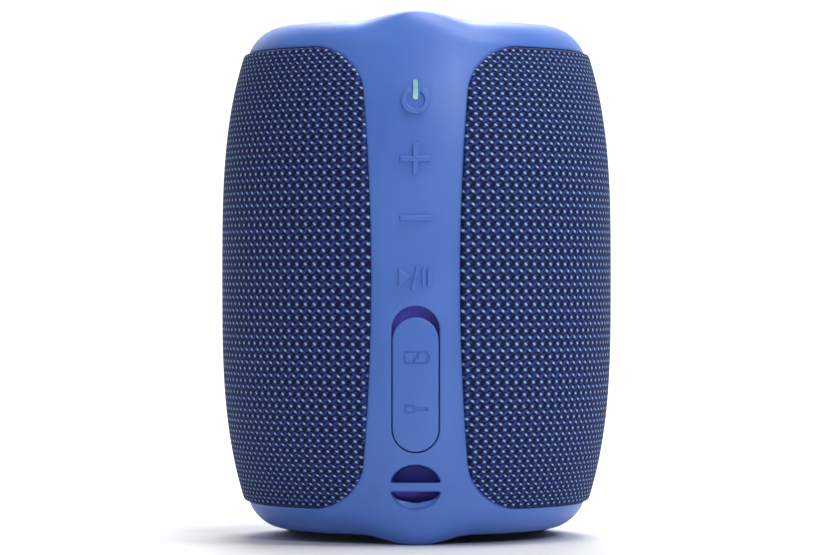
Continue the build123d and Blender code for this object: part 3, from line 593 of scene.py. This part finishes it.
# ---------------------------------------------------------------- materials, colours in linear light
def rubber(name, colour, light, roughness):
    """Soft-touch rubber: faint mottling, a fine moulded grain and a trace of sheen."""
    n = Nodes(name, colour, roughness, Specular_IOR_Level=0.5, Sheen_Weight=0.05, Sheen_Roughness=0.4)
    patches = n.noise(45, 4)
    n.set(n.shader, "Base Color", n.ramp(patches, (0.35, colour), (0.7, light)))
    spread = n.add("ShaderNodeMapRange", Value=n.noise(160, 3), i3=roughness - 0.05, i4=roughness + 0.07)
    n.set(n.shader, "Roughness", spread)
    grain = n.bump(n.noise(5200, 2), 0.00001, 0.5)
    n.set(n.shader, "Normal", n.bump(n.noise(900, 3), 0.000012, 0.5, grain))
    return n.material


def woven(name):
    """Dark yarn with rows of pale slanted stitches, in the coordinates kept on the cloth."""
    n = Nodes(name, (0.01, 0.02, 0.05), 0.8, Specular_IOR_Level=0.2)
    place = n.add("ShaderNodeAttribute", output=1, props={"attribute_name": "weave"})
    parts = n.tree.nodes.new("ShaderNodeSeparateXYZ")
    n.set(parts, "Vector", place)
    wobble = n.math("MULTIPLY_ADD", n.noise(700, 2), 0.16, -0.08)
    row = n.math("ADD", parts.outputs["Y"], wobble)
    index = n.math("ROUND", row)
    shift = n.math("MULTIPLY", n.math("MODULO", n.math("ADD", index, 200.0), 2.0), 0.5)
    across = n.math("ADD", parts.outputs["X"], shift)
    x = n.math("MULTIPLY", n.math("SUBTRACT", across, n.math("ROUND", across)), 2.75)
    z = n.math("MULTIPLY", n.math("SUBTRACT", row, index), 1.78)
    lean_cos, lean_sin = math.cos(math.radians(STITCH_LEAN)), math.sin(math.radians(STITCH_LEAN))
    along = n.math("SUBTRACT", n.math("MULTIPLY", z, lean_sin), n.math("MULTIPLY", x, lean_cos))
    side = n.math("MULTIPLY_ADD", x, lean_sin, n.math("MULTIPLY", z, lean_cos))
    far = n.math("MULTIPLY", along, 1 / STITCH_LENGTH)
    wide = n.math("MULTIPLY", side, 1 / STITCH_W)
    reach = n.math("SQRT", n.math("MULTIPLY_ADD", far, far, n.math("MULTIPLY", wide, wide)))
    stitch = n.add("ShaderNodeMapRange", props={"interpolation_type": "SMOOTHSTEP"},
                   Value=reach, i1=0.25, i2=1.2, i3=1.0, i4=0.0)
    yarn = n.math("MULTIPLY_ADD", n.math("SINE", n.math("MULTIPLY", side, 15.0)), 0.5, 0.5)
    slope = n.math("ADD", across, n.math("MULTIPLY", row, -0.5))
    link = n.math("ABSOLUTE", n.math("SUBTRACT", slope, n.math("ROUND", slope)))
    base = n.add("ShaderNodeMapRange", props={"interpolation_type": "SMOOTHSTEP"},
                 Value=link, i1=0.08, i2=0.3, i3=1.0, i4=0.0)
    ground = n.ramp(n.math("MULTIPLY", base, n.math("ADD", n.noise(1500, 3), 0.4)),
                    (0.0, (0.005, 0.005, 0.045)), (0.95, (0.028, 0.050, 0.24)))
    thread = n.ramp(n.math("MULTIPLY_ADD", n.noise(2500, 3), 0.3, n.math("MULTIPLY", stitch, 0.6)),
                    (0.25, (0.05, 0.11, 0.26)), (0.8, (0.34, 0.62, 0.80)))
    colour = n.add("ShaderNodeMix", output=2, props={"data_type": "RGBA"}, i0=stitch, i6=ground, i7=thread)
    n.set(n.shader, "Base Color", colour)
    relief = n.math("MULTIPLY_ADD", stitch, 0.8, n.math("MULTIPLY", yarn, 0.2))
    fuzz = n.bump(n.noise(3500, 3), 0.00006, 0.6)
    ribs = n.bump(base, 0.00006, 0.8, fuzz)
    n.set(n.shader, "Normal", n.bump(relief, 0.00022, 0.9, ribs))
    return n.material


def moulded(name, colour, roughness=0.5, grain=0.00002):
    """Injection-moulded plastic with a fine spark grain and softened edges."""
    n = Nodes(name, colour, roughness)
    lighter = tuple(min(c * 1.5 + 0.004, 1) for c in colour)
    n.set(n.shader, "Base Color", n.ramp(n.noise(60, 4), (0.3, colour), (0.8, lighter)))
    n.set(n.shader, "Normal", n.bump(n.noise(1800, 3), grain, 0.6, n.add("ShaderNodeBevel", Radius=0.0002)))
    return n.material


def metal(name, colour, roughness, stretch=(1.0, 1.0, 1.0)):
    """Metal whose fine lines are stretched along one direction."""
    n = Nodes(name, colour, roughness, Metallic=1.0)
    spot = n.add("ShaderNodeTexCoord", output="Object")
    lines = n.add("ShaderNodeTexNoise",
                  Vector=n.add("ShaderNodeMapping", Vector=spot, Scale=stretch), Scale=900.0, Detail=3.0)
    n.set(n.shader, "Roughness",
          n.add("ShaderNodeMapRange", Value=lines, i3=roughness - 0.08, i4=roughness + 0.12))
    n.set(n.shader, "Normal", n.bump(lines, 0.00001, 0.5, n.add("ShaderNodeBevel", Radius=0.00015)))
    return n.material


def spun(name, colour):
    """Anodised metal with turning marks about the barrel's axis."""
    n = Nodes(name, colour, 0.35, Metallic=0.9)
    spot = n.add("ShaderNodeTexCoord", output="Object")
    parts = n.tree.nodes.new("ShaderNodeSeparateXYZ")
    n.set(parts, "Vector", spot)
    x, y = parts.outputs["X"], parts.outputs["Y"]
    reach = n.math("SQRT", n.math("MULTIPLY_ADD", x, x, n.math("MULTIPLY", y, y)))
    marks = n.add("ShaderNodeTexNoise", props={"noise_dimensions": "1D"},
                  W=n.math("MULTIPLY", reach, 1000.0), Scale=4.0, Detail=4.0)
    n.set(n.shader, "Roughness", n.add("ShaderNodeMapRange", Value=marks, i3=0.25, i4=0.5))
    n.set(n.shader, "Normal", n.bump(marks, 0.00003, 0.5, n.add("ShaderNodeBevel", Radius=0.0002)))
    return n.material


def glowing(name):
    """Frosted light guide, its colour painted paler at the lower end: a painted bright spot of light that
    fades upwards.
    """
    n = Nodes(name, (0.33, 0.62, 0.60), 0.35, Subsurface_Weight=0.3)
    spot = n.add("ShaderNodeTexCoord", output="Generated")
    parts = n.tree.nodes.new("ShaderNodeSeparateXYZ")
    n.set(parts, "Vector", spot)
    # painted light: the base colour is paler and brighter at the lower end and darker above
    n.set(n.shader, "Base Color",
          n.ramp(parts.outputs["Z"], (0.0, (0.55, 0.85, 0.72)), (0.6, (0.30, 0.58, 0.62))))
    n.set(n.shader, "Normal", n.bump(n.noise(2500, 2), 0.00001, 0.4))
    return n.material


def pulp(name, colour):
    """Pressed paper: soft clumps and short fibres."""
    n = Nodes(name, colour, 0.8)
    lighter = tuple(c * 2.2 + 0.01 for c in colour)
    n.set(n.shader, "Base Color", n.ramp(n.noise(900, 5), (0.35, colour), (0.8, lighter)))
    n.set(n.shader, "Normal", n.bump(n.noise(1500, 6), 0.00006, 0.8))
    return n.material


def resin_cloth(name):
    """Crossed threads of a treated cotton."""
    n = Nodes(name, (0.35, 0.24, 0.09), 0.7)
    waves = [n.add("ShaderNodeTexWave", output="Fac", props={"bands_direction": axis},
                   Vector=n.add("ShaderNodeTexCoord", output="Object"), Scale=700.0) for axis in ("X", "Z")]
    threads = n.math("MULTIPLY", *waves)
    n.set(n.shader, "Base Color", n.ramp(threads, (0.0, (0.20, 0.13, 0.05)), (1.0, (0.48, 0.36, 0.17))))
    n.set(n.shader, "Normal", n.bump(threads, 0.00005, 0.8))
    return n.material


def board(name):
    """Solder mask over copper runs."""
    n = Nodes(name, (0.01, 0.09, 0.04), 0.3, Coat_Weight=0.3)
    spot = n.add("ShaderNodeTexCoord", output="Object")
    cells = n.add("ShaderNodeTexVoronoi", output="Distance",
                  props={"distance": "MANHATTAN", "feature": "F1"}, Vector=spot, Scale=420.0)
    n.set(n.shader, "Base Color", n.ramp(cells, (0.3, (0.008, 0.07, 0.03)), (0.36, (0.02, 0.16, 0.07)),
                                         (0.42, (0.008, 0.07, 0.03))))
    n.set(n.shader, "Normal", n.bump(cells, 0.00002, 0.5))
    return n.material


MATERIALS = {
    "soft_rubber": rubber("soft_rubber", (0.066, 0.165, 0.56), (0.080, 0.190, 0.60), 0.42),
    "key_rubber": rubber("key_rubber", (0.066, 0.165, 0.56), (0.080, 0.190, 0.60), 0.42),
    "woven_cloth": woven("woven_cloth"),
    "frame_plastic": moulded("frame_plastic", (0.06, 0.055, 0.42)),
    "black_plastic": moulded("black_plastic", (0.008, 0.008, 0.009), 0.45),
    "black_rubber": rubber("black_rubber", (0.010, 0.010, 0.012), (0.018, 0.018, 0.021), 0.6),
    "steel": metal("steel", (0.55, 0.55, 0.57), 0.32, (1.0, 0.1, 1.0)),
    "radiator_metal": spun("radiator_metal", (0.045, 0.10, 0.30)),
    "cone_paper": pulp("cone_paper", (0.010, 0.010, 0.012)),
    "spider_cloth": resin_cloth("spider_cloth"),
    "light_guide": glowing("light_guide"),
    "circuit_board": board("circuit_board"),
    "board_parts": moulded("board_parts", (0.012, 0.012, 0.014), 0.4, 0.00001),
    "cell_wrap": moulded("cell_wrap", (0.015, 0.10, 0.085), 0.25, 0.000005),
    "wire": moulded("wire", (0.26, 0.01, 0.008), 0.4, 0.000005),
}


def dress_nodes():
    """Gives every CAD node the material of its slot in the record."""
    for part in frame["record"]["subparts"]:
        slots = NODES[part["node"]].data.materials
        slots.clear()
        slots.append(MATERIALS[part["material_slot"]])


def lamp(name, spot, size, power, colour=(1, 1, 1), target=(0, 0, 0.07)):
    """Area light at a place, turned towards the object."""
    light = bpy.data.lights.new(name, "AREA")
    light.shape = "RECTANGLE"
    light.size, light.size_y = size
    light.energy = power
    light.color = colour
    lamp_object = bpy.data.objects.new(name, light)
    lamp_object.location = spot
    lamp_object.rotation_euler = (Vector(target) - Vector(spot)).to_track_quat("-Z", "Y").to_euler()
    bpy.context.scene.collection.objects.link(lamp_object)
    return lamp_object


def set_world(colour, strength):
    world = bpy.data.worlds.new("studio")
    world.use_nodes = True
    background = world.node_tree.nodes["Background"]
    background.inputs["Color"].default_value = (*colour, 1)
    background.inputs["Strength"].default_value = strength
    bpy.context.scene.world = world


def set_camera():
    camera = bpy.data.objects.new("camera", bpy.data.cameras.new("camera"))
    camera.data.lens = CAMERA_LENS
    camera.data.sensor_width = 36
    camera.data.clip_start = 0.01
    camera.location = (CAMERA_SIDE, -CAMERA_AWAY, MIDDLE * MM)
    camera.rotation_euler = (math.radians(90), 0, math.atan2(CAMERA_SIDE, CAMERA_AWAY))
    bpy.context.scene.collection.objects.link(camera)
    bpy.context.scene.camera = camera



# ---------------------------------------------------------------- the scene
dress_nodes()
jacket = make_jacket()
jacket.data.materials.append(MATERIALS["soft_rubber"])
for label in KEY_SPANS:
    make_key(label).data.materials.append(MATERIALS["key_rubber"])
make_flap(CHARGE_SIGN_Z, AUDIO_SIGN_Z).data.materials.append(MATERIALS["key_rubber"])
make_cloth().data.materials.append(MATERIALS["woven_cloth"])

make_floor()
set_world((0.92, 0.94, 1.0), 0.15)
lamp("top", (0.15, -0.05, 0.95), (0.4, 0.3), 5.2)
lamp("key", (0.49, -1.06, 0.67), (0.14, 0.24), 4.6)
lamp("edge", (0.6, -0.3, 1.0), (0.2, 0.2), 3.0)
lamp("left", (-0.9, -0.6, 0.4), (0.6, 0.8), 0.8)
lamp("rim", (0.0, 0.75, 0.95), (0.6, 0.2), 9.0)
lamp("backdrop", (0, 0.6, 1.4), (2.5, 0.5), 40.0, target=(0, 2.4, 0.5))
set_camera()
bpy.context.scene.view_settings.view_transform = "Standard"
